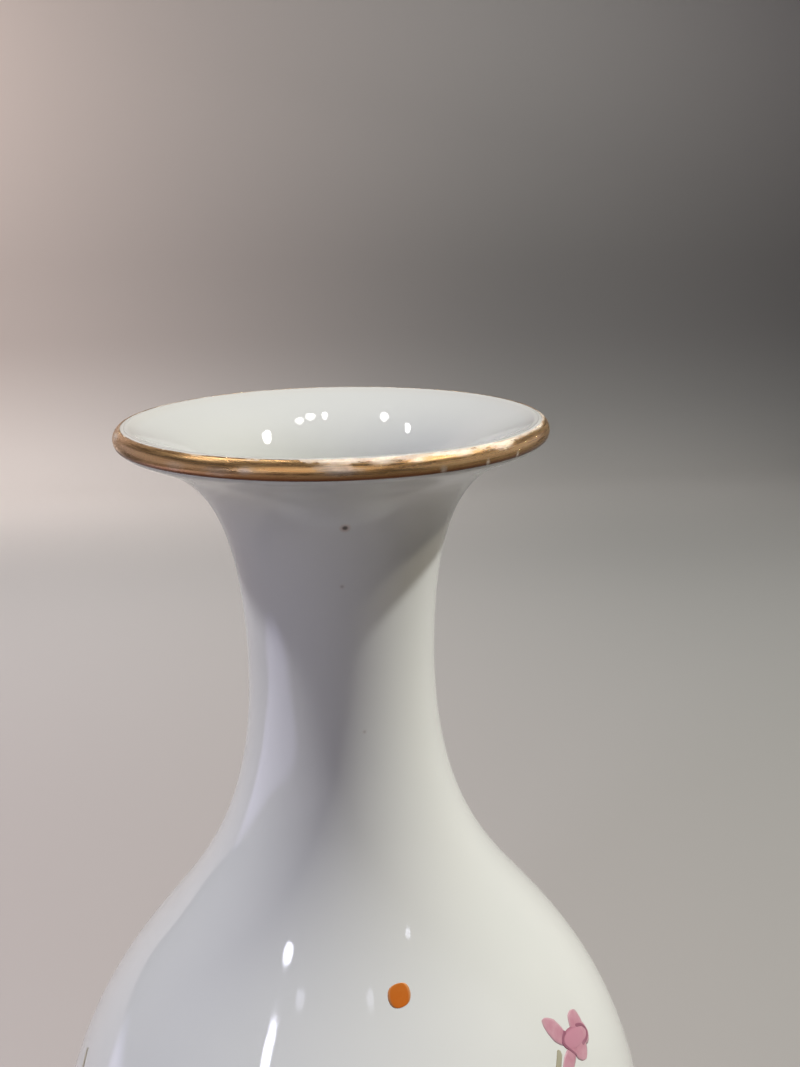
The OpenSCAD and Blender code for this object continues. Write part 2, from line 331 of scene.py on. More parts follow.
def biscuit():
    """Bare porcelain that was fired without glaze: matt, chalky and fine-grained, burnt faintly
    orange along the edge of the glaze, and rubbed grey where it has stood."""
    material, tree, shader, place = new_material("bare_porcelain")
    grain = add_node(tree, "ShaderNodeTexNoise",
                     {"Vector": place, "Scale": per_mm(1.2), "Detail": 4.0, "Roughness": 0.6})
    body = add_node(tree, "ShaderNodeMix",
                    {SHARE: grain.outputs["Fac"], UNDER: hex_colour("#d8cfbf"),
                     OVER: hex_colour("#ece6da")}, data_type="RGBA")
    height = add_node(tree, "ShaderNodeSeparateXYZ", {"Vector": place}).outputs["Z"]
    burn = add_node(tree, "ShaderNodeMapRange",
                    {"Value": height, "From Min": (BARE_H - BURN_H) * MM, "From Max": BARE_H * MM,
                     "To Max": 0.55}, interpolation_type="SMOOTHSTEP")
    burnt = add_node(tree, "ShaderNodeMix",
                     {SHARE: burn.outputs["Result"], UNDER: body.outputs[MIXED],
                      OVER: hex_colour("#c98f5c")}, data_type="RGBA")
    stain = add_node(tree, "ShaderNodeTexNoise",
                     {"Vector": place, "Scale": per_mm(9), "Detail": 3.0, "Roughness": 0.6})
    rubbed = add_node(tree, "ShaderNodeMapRange",
                      {"Value": stain.outputs["Fac"], "From Min": 0.5, "From Max": 0.75, "To Max": 0.5})
    worn = add_node(tree, "ShaderNodeMix",
                    {SHARE: rubbed.outputs["Result"], UNDER: burnt.outputs[MIXED],
                     OVER: hex_colour("#a79c8c")}, data_type="RGBA")
    tree.links.new(worn.outputs[MIXED], shader.inputs["Base Color"])
    bump = add_node(tree, "ShaderNodeBump",
                    {"Height": grain.outputs["Fac"], "Strength": 0.5, "Distance": 0.1 * MM})
    tree.links.new(bump.outputs["Normal"], shader.inputs["Normal"])
    shader.inputs["Roughness"].default_value = 0.8
    shader.inputs["IOR"].default_value = GLASS_IOR
    return material


# One side of the lip, at this azimuth in degrees, is rubbed the most. The gold ends at an angle up the
# lip, which is lower on that side.
WORN_SIDE = math.radians(-56)
GOLD_ENDS = (math.radians(76), math.radians(48))
# Marks in the gold, as their length along the lip and their width: brush marks, broader patches of wear,
# and fine scratches. Each moves the gold's edge by a share, and the last two values say where that edge
# lies among the marks, and how soft it is.
GOLD_MARKS = ((6.0, 0.35), (8.0, 2.0), (1.1, 0.3))
BRUSH_WEAR = 0.6
PATCH_WEAR = 1.8
SCRATCH_WEAR = 0.9
WEAR_EDGE = 1.65
WEAR_SOFT = 0.12
# Places that are rubbed bare or chipped, and two faint ones low on the left that are a painted reflection
# of the pale table in the gold: (azimuth and angle up the lip in degrees, length along the lip, how bare).
# They are all equally wide, and the scratches make their edges ragged.
RUBBED_PLACES = (
    (-89.0, 13.0, 3.6, 0.9),
    (-90.5, 34.0, 3.4, 0.8),
    (-80.0, 46.0, 3.0, 0.9),
    (-109.5, 12.0, 1.6, 0.6),
    # These two faint places are painted reflection of the pale table, not wear.
    (-116.0, 2.0, 3.0, 0.35),
    (-128.0, 5.0, 2.5, 0.3),
    (-47.5, 41.0, 3.0, 1.0),
    (-60.0, 47.0, 2.2, 0.9),
    (-72.0, 44.0, 1.6, 0.8),
    (-66.0, -14.0, 0.7, 0.7),
    (-162.0, 40.0, 3.0, 0.9),
    (-53.5, -16.0, 0.5, 0.9),
    (-42.5, -14.0, 0.5, 0.9),
    (38.0, 20.0, 2.4, 0.8),
    (104.0, 30.0, 3.0, 0.8),
    (151.0, 8.0, 2.0, 0.7),
)
RUBBED_W = 0.8
RUBBED_RAGGED = 1.6
# Where the gold darkens towards its lower edge, as angles up the lip
GOLD_DARKENS_LOW = (math.radians(-24), math.radians(2))
GOLD_METALLIC = 0.85


def fired_gilding():
    """Liquid gold, fired on and burnished: brown-gold and brushed along the lip, darker towards its lower
    edge, and rubbed through to the glaze over the top of the lip and in patches along it. Two faint
    patches low on the left are a painted reflection of the pale table."""
    material, tree, shader, place = new_material("fired_gilding")
    # The place on the lip: its direction from the axis, and its angle up the lip's rounding
    xyz = add_node(tree, "ShaderNodeSeparateXYZ", {"Vector": place})
    flat = add_node(tree, "ShaderNodeVectorMath", {0: place, 1: (1.0, 1.0, 0.0)},
                    operation="MULTIPLY").outputs["Vector"]
    radius = add_node(tree, "ShaderNodeVectorMath", {0: flat}, operation="LENGTH")
    facing = add_node(tree, "ShaderNodeVectorMath", {0: flat}, operation="NORMALIZE").outputs["Vector"]
    out = add_node(tree, "ShaderNodeMath", {0: radius.outputs["Value"], 1: LIP.x * MM},
                   operation="SUBTRACT")
    up = add_node(tree, "ShaderNodeMath", {0: xyz.outputs["Z"], 1: LIP.y * MM}, operation="SUBTRACT")
    tilt = add_node(tree, "ShaderNodeMath", {0: up.outputs["Value"], 1: out.outputs["Value"]},
                    operation="ARCTAN2").outputs["Value"]
    raised = add_node(tree, "ShaderNodeCombineXYZ", {"Z": tilt})
    round_lip = add_node(tree, "ShaderNodeVectorMath", {0: facing, 1: raised.outputs["Vector"]},
                         operation="ADD").outputs["Vector"]
    marks = []
    for length, width in GOLD_MARKS:
        along = MOUTH_R / length
        drawn = add_node(tree, "ShaderNodeMapping",
                         {"Vector": round_lip, "Scale": (along, along, LIP_R / width)})
        noise = add_node(tree, "ShaderNodeTexNoise",
                         {"Vector": drawn.outputs["Vector"], "Scale": 1.0, "Detail": 4.0, "Roughness": 0.6})
        marks.append(noise.outputs["Fac"])
    brush, patch, scratch = marks
    worn_side = (math.cos(WORN_SIDE), math.sin(WORN_SIDE), 0.0)
    turned_to = add_node(tree, "ShaderNodeVectorMath", {0: facing, 1: worn_side}, operation="DOT_PRODUCT")
    edge = add_node(tree, "ShaderNodeMapRange",
                    {"Value": turned_to.outputs["Value"], "From Min": 0.45, "From Max": 1.0,
                     "To Min": GOLD_ENDS[0], "To Max": GOLD_ENDS[1]}).outputs["Result"]
    for mark, wear in ((patch, PATCH_WEAR), (brush, BRUSH_WEAR), (scratch, SCRATCH_WEAR)):
        edge = add_node(tree, "ShaderNodeMath", {0: mark, 1: wear, 2: edge},
                        operation="MULTIPLY_ADD").outputs["Value"]
    below_edge = add_node(tree, "ShaderNodeMath", {0: edge, 1: tilt}, operation="SUBTRACT")
    kept = add_node(tree, "ShaderNodeMapRange",
                    {"Value": below_edge.outputs["Value"], "From Min": WEAR_EDGE - WEAR_SOFT,
                     "From Max": WEAR_EDGE + WEAR_SOFT}, interpolation_type="SMOOTHSTEP").outputs["Result"]
    for azimuth, rise, length, bare in RUBBED_PLACES:
        a = math.radians(azimuth)
        middle = (math.cos(a), math.sin(a), math.radians(rise))
        along = MOUTH_R / length
        off = add_node(tree, "ShaderNodeVectorMath", {0: round_lip, 1: middle}, operation="SUBTRACT")
        squeezed = add_node(tree, "ShaderNodeVectorMath",
                            {0: off.outputs["Vector"], 1: (along, along, LIP_R / RUBBED_W)},
                            operation="MULTIPLY")
        away = add_node(tree, "ShaderNodeVectorMath", {0: squeezed.outputs["Vector"]}, operation="LENGTH")
        ragged = add_node(tree, "ShaderNodeMath", {0: scratch, 1: RUBBED_RAGGED, 2: away.outputs["Value"]},
                          operation="MULTIPLY_ADD")
        still = add_node(tree, "ShaderNodeMapRange",
                         {"Value": ragged.outputs["Value"], "From Min": 0.9, "From Max": 2.1,
                          "To Min": 1 - bare}, interpolation_type="SMOOTHSTEP")
        kept = add_node(tree, "ShaderNodeMath", {0: kept, 1: still.outputs["Result"]},
                        operation="MULTIPLY").outputs["Value"]
    metal = add_node(tree, "ShaderNodeMix",
                     {SHARE: brush, UNDER: hex_colour("#a67746"), OVER: hex_colour("#e2bb86")},
                     data_type="RGBA")
    # Darker towards the lip's lower edge
    darkened_low = add_node(tree, "ShaderNodeMapRange",
                     {"Value": tilt, "From Min": GOLD_DARKENS_LOW[0], "From Max": GOLD_DARKENS_LOW[1],
                      "To Min": 0.95, "To Max": 0.0}, interpolation_type="SMOOTHSTEP")
    browned = add_node(tree, "ShaderNodeMix",
                       {SHARE: darkened_low.outputs["Result"], UNDER: metal.outputs[MIXED],
                        OVER: hex_colour("#64371e")}, data_type="RGBA")
    stained = add_node(tree, "ShaderNodeMix",
                       {SHARE: scratch, UNDER: hex_colour("#b08a58"), OVER: hex_colour("#efebe3")},
                       data_type="RGBA")
    face = add_node(tree, "ShaderNodeMix",
                    {SHARE: kept, UNDER: stained.outputs[MIXED], OVER: browned.outputs[MIXED]},
                    data_type="RGBA")
    tree.links.new(face.outputs[MIXED], shader.inputs["Base Color"])
    metallic = add_node(tree, "ShaderNodeMath", {0: kept, 1: GOLD_METALLIC}, operation="MULTIPLY")
    tree.links.new(metallic.outputs["Value"], shader.inputs["Metallic"])
    gloss = add_node(tree, "ShaderNodeMapRange",
                     {"Value": brush, "From Min": 0.3, "From Max": 0.7, "To Min": 0.20, "To Max": 0.36})
    tree.links.new(gloss.outputs["Result"], shader.inputs["Roughness"])
    bump = add_node(tree, "ShaderNodeBump", {"Height": brush, "Strength": 0.4, "Distance": 0.05 * MM})
    tree.links.new(bump.outputs["Normal"], shader.inputs["Normal"])
    return material


# How much an enamel pales along its stroke, against its uneven wash
PALES_ALONG = 0.8


def overglaze_enamel(name, deep, pale, tip, edge, edge_from=0.34, vein=0.0):
    """Overglaze enamel, painted on the fired glaze and fired again: translucent and slightly raised,
    denser where the brush dwelt, with a drawn edge. The stroke's own UV map runs across and along it."""
    material, tree, shader, place = new_material(name)
    stroke = add_node(tree, "ShaderNodeUVMap", uv_map="stroke")
    uv = add_node(tree, "ShaderNodeSeparateXYZ", {"Vector": stroke.outputs["UV"]})
    across, along = uv.outputs["X"], uv.outputs["Y"]
    wash = add_node(tree, "ShaderNodeTexNoise",
                    {"Vector": place, "Scale": per_mm(1.8), "Detail": 3.0, "Roughness": 0.55})
    shade = add_node(tree, "ShaderNodeMath", {0: along, 1: PALES_ALONG, 2: wash.outputs["Fac"]},
                     operation="MULTIPLY_ADD")
    ramp = add_node(tree, "ShaderNodeMapRange",
                    {"Value": shade.outputs["Value"], "From Min": 0.35, "From Max": 1.15})
    body = add_node(tree, "ShaderNodeMix",
                    {SHARE: ramp.outputs["Result"], UNDER: hex_colour(deep), OVER: hex_colour(pale)},
                    data_type="RGBA")
    end = add_node(tree, "ShaderNodeMapRange", {"Value": along, "From Min": 0.66},
                   interpolation_type="SMOOTHSTEP")
    tipped = add_node(tree, "ShaderNodeMix",
                      {SHARE: end.outputs["Result"], UNDER: body.outputs[MIXED], OVER: hex_colour(tip)},
                      data_type="RGBA")
    off_middle = add_node(tree, "ShaderNodeMath", {0: across, 1: 0.5}, operation="SUBTRACT")
    side = add_node(tree, "ShaderNodeMath", {0: off_middle.outputs["Value"]},
                    operation="ABSOLUTE").outputs["Value"]
    line = add_node(tree, "ShaderNodeMapRange",
                    {"Value": side, "From Min": edge_from, "From Max": 0.47, "To Max": 0.8},
                    interpolation_type="SMOOTHSTEP")
    drawn = add_node(tree, "ShaderNodeMix",
                     {SHARE: line.outputs["Result"], UNDER: tipped.outputs[MIXED], OVER: hex_colour(edge)},
                     data_type="RGBA")
    middle = add_node(tree, "ShaderNodeMapRange",
                      {"Value": side, "From Min": 0.02, "From Max": 0.07, "To Min": vein, "To Max": 0.0},
                      interpolation_type="SMOOTHSTEP")
    veined = add_node(tree, "ShaderNodeMix",
                      {SHARE: middle.outputs["Result"], UNDER: drawn.outputs[MIXED],
                       OVER: hex_colour(edge)}, data_type="RGBA")
    tree.links.new(veined.outputs[MIXED], shader.inputs["Base Color"])
    bump = add_node(tree, "ShaderNodeBump",
                    {"Height": wash.outputs["Fac"], "Strength": 0.3, "Distance": 0.05 * MM})
    tree.links.new(bump.outputs["Normal"], shader.inputs["Normal"])
    shader.inputs["Roughness"].default_value = 0.28
    shader.inputs["IOR"].default_value = GLASS_IOR
    return material


# Brush strokes of enamel

STROKE_ROWS = 16
STROKE_COLUMNS = 8
PATH_POINTS = 16
STROKE_MERGE = 0.005
ENAMEL = 0.2
# How much of its height a stroke keeps at its edge
EDGE_HEIGHT = 0.25


def petal_width(t):
    """A petal starts at half its width, fills out and rounds off at its tip."""
    return min(1.0, 0.5 + t) * (1 - t ** 3)


def leaf_width(t):
    """A leaf is pointed at both ends and widest a little before its middle."""
    return math.sin(math.pi * t ** 0.8)


def stem_width(t):
    """A stem is nearly even, with rounded ends."""
    return min(1.0, 14 * t, 90 * (1 - t)) ** 0.5 * (1 - 0.1 * t)


def round_width(t):
    """A dab of the brush is round."""
    return max(0.0, 1 - (2 * t - 1) ** 2) ** 0.5


def beside(mark, across, up):
    """The azimuth and height of a place on the body, some millimetres across and up from a mark."""
    azimuth, height = mark
    rise = Vector((radius_at(height + 1) - radius_at(height - 1), 2.0)).normalized().y
    return azimuth + math.degrees(across / radius_at(height)), height + up * rise


def stroke_path(points):
    """A smooth line on the body through places given as an azimuth in degrees and a height."""
    spots = [surface_point(a, h) for a, h in points]
    line = []
    for i in range(len(spots) - 1):
        start, end = spots[i], spots[i + 1]
        before = spots[i - 1] if i else start
        after = spots[i + 2] if i + 2 < len(spots) else end
        made = geometry.interpolate_bezier(start, start + (end - before) / 6,
                                           end - (after - start) / 6, end, PATH_POINTS)
        line.extend(made if i == 0 else made[1:])
    return line


def brush_stroke(mesh, points, half_width, width_along, lift):
    """One raised stroke of enamel along a path on the body, with its width along it. Its rows lie
    closer together towards its ends, and it is highest along its middle."""
    path = stroke_path(points)
    rows = max(STROKE_ROWS, len(path))
    grid = bmesh.ops.create_grid(mesh, x_segments=STROKE_COLUMNS, y_segments=rows, size=1.0, calc_uvs=True)
    for vertex in grid["verts"]:
        across = vertex.co.x
        t = (1 - math.cos(math.pi * (vertex.co.y + 1) / 2)) / 2
        at = t * (len(path) - 1)
        i = min(int(at), len(path) - 2)
        middle = path[i].lerp(path[i + 1], at - i)
        run = (path[min(i + 2, len(path) - 1)] - path[max(i - 1, 0)]).normalized()
        out = Vector((middle.x, middle.y, 0)).normalized()
        spot = middle + run.cross(out).normalized() * across * half_width * width_along(t) * MM
        fullness = max(0.0, 1 - across ** 4) * min(1.0, 3 * width_along(t))
        crown = lift * (EDGE_HEIGHT + (1 - EDGE_HEIGHT) * fullness)
        vertex.co = surface_point(math.degrees(math.atan2(spot.y, spot.x)), spot.z / MM, crown)
    bmesh.ops.remove_doubles(mesh, verts=grid["verts"], dist=STROKE_MERGE * MM)


def new_strokes():
    """An empty mesh for brush strokes, with the UV map that runs across and along each."""
    mesh = bmesh.new()
    mesh.loops.layers.uv.new("stroke")
    return mesh


def enamelled(name, mesh, material, slot, *nodes):
    """Closes a set of strokes into raised enamel that is fused to the glaze."""
    bmesh.ops.recalc_face_normals(mesh, faces=mesh.faces)
    piece = finished(name, mesh, material, nodes)
    coat = piece.modifiers.new("coat", "SOLIDIFY")
    coat.thickness = ENAMEL * MM
    coat.offset = -1.0


# Build the vase

GLAZED = porcelain_glaze("porcelain_glaze", "#e3e6e4", "#ecedea", IRON_SPECKS)
# The same glaze inside the mouth, painted darker: painted shade in the mouth.
GLAZED_INSIDE = porcelain_glaze("inner_glaze_painted_shade", "#c2c4c1", "#cacbc7", ())

bare_r = FOOT_R - (FOOT_R - FOOT_TOP_R) * BARE_H / FOOT_H
foot_wall = [Vector((bare_r - FOOT_ROLL, BARE_H)), Vector((bare_r, BARE_H + FOOT_ROLL))]
foot_wall += [Vector((FOOT_TOP_R + out, FOOT_H - down)) for out, down in FOOT_POOL]
foot_back = [Vector((bare_r - GLAZE, BARE_H)), Vector((FOOT_TOP_R - GLAZE, FOOT_H))]
outer = foot_wall + outer_side()[2:] + lip_arc(LIP_OUT, LIP_TOP, LIP_R)[1:]
outer_back = foot_back + outer_side(GLAZE)[2:] + lip_arc(LIP_OUT, LIP_TOP, LIP_R - GLAZE)[1:]
finished("outer_glaze_coat", turned(outer + outer_back[::-1]), GLAZED, ("outer_glaze",))

inner = lip_arc(LIP_TOP, LIP_IN, LIP_R)[:-1] + inner_side()
inner_back = lip_arc(LIP_TOP, LIP_IN, LIP_R - GLAZE)[:-1] + inner_side(GLAZE)
inner += [Vector((inner[-1].x - FLOOR_CORNER, FLOOR_H)), Vector((0, FLOOR_H))]
inner_back += [Vector((inner_back[-1].x - FLOOR_CORNER, FLOOR_H - GLAZE)), Vector((0, FLOOR_H - GLAZE))]
finished("inner_glaze_coat", turned(inner + inner_back[::-1]), GLAZED_INSIDE, ("inner_glaze",))

recess_top_r = RECESS_R - FOOT_SPLAY
base = [Vector((RECESS_R + RECESS_ROLL, BARE_H))]
base += [Vector((recess_top_r + out, RECESS_H - down)) for out, down in RECESS_POOL]
base += [Vector((0, RECESS_H)), Vector((0, RECESS_H + GLAZE))]
base += [Vector((recess_top_r + GLAZE, RECESS_H + GLAZE)), Vector((RECESS_R + GLAZE, BARE_H))]
finished("base_glaze_coat", turned(base), GLAZED, ("base_glaze",))

gilt = lip_arc(GILT_LOW, GILT_HIGH, LIP_R + GILT)
gilt_back = lip_arc(GILT_LOW, GILT_HIGH, LIP_R)
gilt_lip = finished("gilt_lip", turned(gilt + gilt_back[::-1]), fired_gilding(), ("gilt_rim",))


# Enamels

# Places are an azimuth in degrees and a height, and -90 degrees faces the camera. Within a dot or a
# blossom they are millimetres across and up from its middle. A lift is how far a stroke stands up.
IRON_RED_DOT = (-76.0, 168.8)
DOT_ENDS = ((0.1, -2.3), (-0.1, 2.1))
DOT_W = 4.7
DOT_LIFT = 0.06
# Blossoms: (place, turn in degrees, size)
BLOSSOMS = (
    ((-29.9, 145.3), 0, 1.0),
    ((-90, 124), 150, 1.3),
    ((-57, 97), -50, 1.5),
    ((-147, 110), -20, 1.2),
)
# Petals, each with its start, its tip and its width. Each lies a little over the one before.
PETALS = (
    ((-2.6, 1.6), (-6.5, 9.1), 4.6),
    ((0.8, -0.8), (6.0, 2.0), 6.4),
    ((2.2, -0.6), (5.6, -3.4), 5.0),
    ((0.2, -0.8), (-0.2, -5.3), 6.6),
    ((-1.6, -0.6), (-9.8, -2.3), 3.4),
)
PETAL_LIFT = 0.11
PETAL_LAP = 0.012
HEART = ((-3.8, 1.8), (3.8, -1.8))
HEART_W = 3.7
HEART_LIFT = 0.22
DRAWN_LINES = (
    ((2.6, 0.9), (4.7, -0.9), (5.1, -2.7), (3.6, -3.3), (1.2, -2.7)),
    ((-4.3, 2.6), (-3.7, 0.7), (-2.4, -2.2)),
    ((-1.6, 3.0), (-3.4, 2.8), (-4.2, 2.0), (-3.9, 0.9)),
)
DRAWN_LINE_W = 0.72
DRAWN_LINE_LIFT = 0.24
# Stems and twigs, each with its ends and the two places that bend it
STEMS = (
    ((-92, 56), (-82, 106), (-58, 138.5), (-36.4, 147)),
    ((-141, 54), (-148, 92), (-158, 128.5), (-171.4, 133.4)),
)
TWIGS = (
    ((-71.8, 118.2), (-75, 121), (-79, 123), (-82.3, 123.8)),
    ((-82, 87.6), (-77, 86.5), (-71, 90), (-64.6, 94.6)),
    ((-148.2, 93), (-148.2, 96), (-148, 99), (-147.6, 101.4)),
)
STEM_STEPS = 6
STEM_W = 1.6
TWIG_W = 1.1
STEM_LIFT = 0.12
# Leaves: (stem, how far along that it grows, turn in degrees, size)
LEAVES = (
    (0, 0.09, 28, 1.1), (0, 0.15, 150, 1.2), (0, 0.37, 175, 0.9),
    (0, 0.58, 110, 0.8), (0, 0.66, -25, 0.9), (0, 0.83, -45, 0.8),
    (1, 0.14, 160, 1.1), (1, 0.25, 28, 1.2), (1, 0.56, 190, 0.8),
)
LEAF_L = 19.0
LEAF_W = 6.0
LEAF_LIFT = 0.12

IRON_RED = overglaze_enamel("iron_red_enamel", "#ce691b", "#d3762b", "#cf7f3b", "#d49a67", 0.36)
ROSE = overglaze_enamel("rose_enamel", "#bd788d", "#d2a2af", "#c8a9ad", "#d6aeb8", 0.36)
PALE_ROSE = overglaze_enamel("pale_rose_enamel", "#c98da0", "#cc92a4", "#c98fa0", "#a86d80")
DARK_ROSE = overglaze_enamel("dark_rose_enamel", "#9a6175", "#a16a7d", "#b07f8f", "#a8758a")
LEAF_GREEN = overglaze_enamel("leaf_green_enamel", "#7f8a5a", "#9aa277", "#8d8a64", "#5c6642", vein=0.7)
UMBER = overglaze_enamel("umber_enamel", "#83755b", "#a8a38d", "#b4b09b", "#9a927b")


def on_curve(curve, t):
    """A place along a stem."""
    shares = ((1 - t) ** 3, 3 * (1 - t) ** 2 * t, 3 * (1 - t) * t * t, t ** 3)
    return tuple(sum(share * point[i] for share, point in zip(shares, curve)) for i in (0, 1))


def on_blossom(blossom, across, up):
    """The place that lies some millimetres across and up in a blossom, as it is turned and sized."""
    place, turn_by, size = blossom
    moved = Matrix.Rotation(math.radians(turn_by), 2) @ Vector((across, up)) * size
    return beside(place, moved.x, moved.y)


dot = new_strokes()
brush_stroke(dot, [beside(IRON_RED_DOT, *end) for end in DOT_ENDS], DOT_W / 2, round_width, DOT_LIFT)
enamelled("iron_red_spot", dot, IRON_RED, "iron_red_enamel", "iron_red_dot")

petals, hearts, lines = new_strokes(), new_strokes(), new_strokes()
for blossom in BLOSSOMS:
    size = blossom[2]
    for i, (start, tip, width) in enumerate(PETALS):
        ends = [on_blossom(blossom, *start), on_blossom(blossom, *tip)]
        brush_stroke(petals, ends, width / 2 * size, petal_width, PETAL_LIFT + PETAL_LAP * i)
    ends = [on_blossom(blossom, *end) for end in HEART]
    brush_stroke(hearts, ends, HEART_W / 2 * size, round_width, HEART_LIFT)
    for line in DRAWN_LINES:
        spots = [on_blossom(blossom, *spot) for spot in line]
        brush_stroke(lines, spots, DRAWN_LINE_W / 2 * size, stem_width, DRAWN_LINE_LIFT)
enamelled("petal_strokes", petals, ROSE, "rose_enamel", "rose_petals")
enamelled("heart_strokes", hearts, PALE_ROSE, "pale_rose_enamel", "rose_hearts")
enamelled("drawn_lines", lines, DARK_ROSE, "rose_enamel")

stems = new_strokes()
for curves, width in ((STEMS, STEM_W), (TWIGS, TWIG_W)):
    for curve in curves:
        spots = [on_curve(curve, i / STEM_STEPS) for i in range(STEM_STEPS + 1)]
        brush_stroke(stems, spots, width / 2, stem_width, STEM_LIFT)
enamelled("stem_strokes", stems, UMBER, "umber_enamel", "umber_stems")

leaves = new_strokes()
for stem, share, turn_by, size in LEAVES:
    grown_at = on_curve(STEMS[stem], share)
    away = Vector((math.cos(math.radians(turn_by)), math.sin(math.radians(turn_by))))
    ends = [beside(grown_at, *(length * away)) for length in (STEM_W, STEM_W + LEAF_L * size)]
    brush_stroke(leaves, ends, LEAF_W / 2 * size, leaf_width, LEAF_LIFT)
enamelled("leaf_strokes", leaves, LEAF_GREEN, "leaf_green_enamel", "green_leaves")


# The clay and the slip between its sections keep their CAD shapes.

CLAY = ("mouth_and_neck", "shoulder", "lower_body", "foot_ring")
SLIP = ("neck_slip", "belly_slip", "foot_slip")
BARE = biscuit()
for name in CLAY + SLIP:
    cad_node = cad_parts[name]
    cad_node.data.materials.clear()
    cad_node.data.materials.append(BARE)


# Camera, at the photograph's viewing angle

CAMERA_AT = Vector((0.0, -179.14, 308.07)) * MM
CAMERA_YAW = math.radians(4.13)
CAMERA_PITCH = math.radians(17.10)
CAMERA_ROLL = math.radians(0.67)
IMAGE_LONG_SIDE = 1067
FOCAL_PIXELS = 900
SENSOR = 36.0

camera_data = bpy.data.cameras.new("camera")
camera_data.sensor_width = SENSOR
camera_data.lens = FOCAL_PIXELS * SENSOR / IMAGE_LONG_SIDE
camera_data.clip_start = 0.01
camera_data.clip_end = 50
camera = bpy.data.objects.new("camera", camera_data)
bpy.context.scene.collection.objects.link(camera)
forward = Vector((math.sin(CAMERA_YAW) * math.cos(CAMERA_PITCH),
                  math.cos(CAMERA_YAW) * math.cos(CAMERA_PITCH), -math.sin(CAMERA_PITCH)))
level = Vector((math.cos(CAMERA_YAW), -math.sin(CAMERA_YAW), 0))
below = forward.cross(level)
right = math.cos(CAMERA_ROLL) * level + math.sin(CAMERA_ROLL) * below
upward = math.sin(CAMERA_ROLL) * level - math.cos(CAMERA_ROLL) * below
turn = Matrix((right, upward, -forward)).transposed()
camera.matrix_world = Matrix.Translation(CAMERA_AT) @ turn.to_4x4()
bpy.context.scene.camera = camera


# Floor and backdrop, in metres

# The table top's edges from front to back, the bend behind it and the wall over that
TABLE_EDGES = (-2.2, -0.6, 0.3, 1.05)
BEND_R = 0.30
BEND_STEPS = 12
WALL_TOP = 2.4
SWEEP_W = 6.0
FLAG_FOOT = ((-0.52, 0.43), (-1.1, 0.12))
FLAG_H = 0.45


def drawn_out(points, by):
    """A sheet, drawn out from a line of points."""
    mesh = bmesh.new()
    line = [mesh.verts.new(point) for point in points]
    edges = [mesh.edges.new(pair) for pair in zip(line, line[1:])]
    drawn = bmesh.ops.extrude_edge_only(mesh, edges=edges)
    moved = [v for v in drawn["geom"] if isinstance(v, bmesh.types.BMVert)]
    bmesh.ops.translate(mesh, verts=moved, vec=by)
    bmesh.ops.recalc_face_normals(mesh, faces=mesh.faces)
    return mesh


def sweep_line():
    """The sweep from the side: a table top that runs back and curves up into a wall."""
    back = TABLE_EDGES[-1]
    bends = [math.radians(90 / BEND_STEPS * i) for i in range(1, BEND_STEPS + 1)]
    line = [(y, 0.0) for y in TABLE_EDGES]
    line += [(back + BEND_R * math.sin(a), BEND_R - BEND_R * math.cos(a)) for a in bends]
    line += [(back + BEND_R, WALL_TOP)]
    return [(-SWEEP_W / 2, y, z) for y, z in line]


def sweep_paper():
    """Matt warm-grey paper. Its colour is painted palest at the far end of the table and to the left, as
    painted pools of light, and darker to the right and at the foot of the wall, as painted shade. It shows
    pale to the eye, and in gold and glaze, and throws back less light than that on the vase."""
    material, tree, shader, place = new_material("sweep_paper")
    xyz = add_node(tree, "ShaderNodeSeparateXYZ", {"Vector": place})
    aside, back, rise, high = [
        add_node(tree, "ShaderNodeMapRange",
                 {"Value": xyz.outputs[axis], "From Min": start, "From Max": end},
                 interpolation_type="SMOOTHSTEP").outputs["Result"]
        for axis, start, end in (("X", -0.6, 0.4), ("Y", 0.15, 0.8), ("Z", 0.0, 0.2), ("Z", 0.2, 0.8))]
    # Painted light and shade: colours to the left and to the right, near, at the far end of the table, and
    # low and high on the wall
    paper = None
    for left, right, step in (("#cbbfbd", "#9c9b98", None), ("#faf4f1", "#b0b0ad", back),
                              ("#cdc4c1", "#999896", rise), ("#d8cfcc", "#dedcd8", high)):
        across = add_node(tree, "ShaderNodeMix",
                          {SHARE: aside, UNDER: hex_colour(left), OVER: hex_colour(right)},
                          data_type="RGBA")
        if step is None:
            paper = across
        else:
            paper = add_node(tree, "ShaderNodeMix",
                             {SHARE: step, UNDER: paper.outputs[MIXED], OVER: across.outputs[MIXED]},
                             data_type="RGBA")
    ray = add_node(tree, "ShaderNodeLightPath")
    mirrored = add_node(tree, "ShaderNodeMath",
                        {0: ray.outputs["Is Glossy Ray"], 1: ray.outputs["Is Transmission Ray"]},
                        operation="MAXIMUM")
    seen = add_node(tree, "ShaderNodeMath",
                    {0: ray.outputs["Is Camera Ray"], 1: mirrored.outputs["Value"]}, operation="MAXIMUM")
    shown = add_node(tree, "ShaderNodeMix",
                     {SHARE: seen.outputs["Value"], UNDER: hex_colour("#837d79"),
                      OVER: paper.outputs[MIXED]}, data_type="RGBA")
    tree.links.new(shown.outputs[MIXED], shader.inputs["Base Color"])
    shader.inputs["Roughness"].default_value = 0.85
    return material


def black_card():
    """Matt black card."""
    material, _, shader, _ = new_material("black_card")
    shader.inputs["Base Color"].default_value = hex_colour("#1c1c20")
    shader.inputs["Roughness"].default_value = 0.9
    return material


# A black card on the table, out of the picture at the left, ends the pale band in the shoulder. It shows
# in the glaze only.
flag = in_scene("black_flag", drawn_out([(x, y, 0.0) for x, y in FLAG_FOOT], (0, 0, FLAG_H)), black_card())
flag.visible_camera = False
flag.visible_diffuse = False
flag.visible_shadow = False

sweep = in_scene("studio_sweep", drawn_out(sweep_line(), (SWEEP_W, 0, 0)), sweep_paper())


# Light, in metres

# The lamps are aimed at the neck.
LAMP_AIM = Vector((0, 0, 220 * MM))


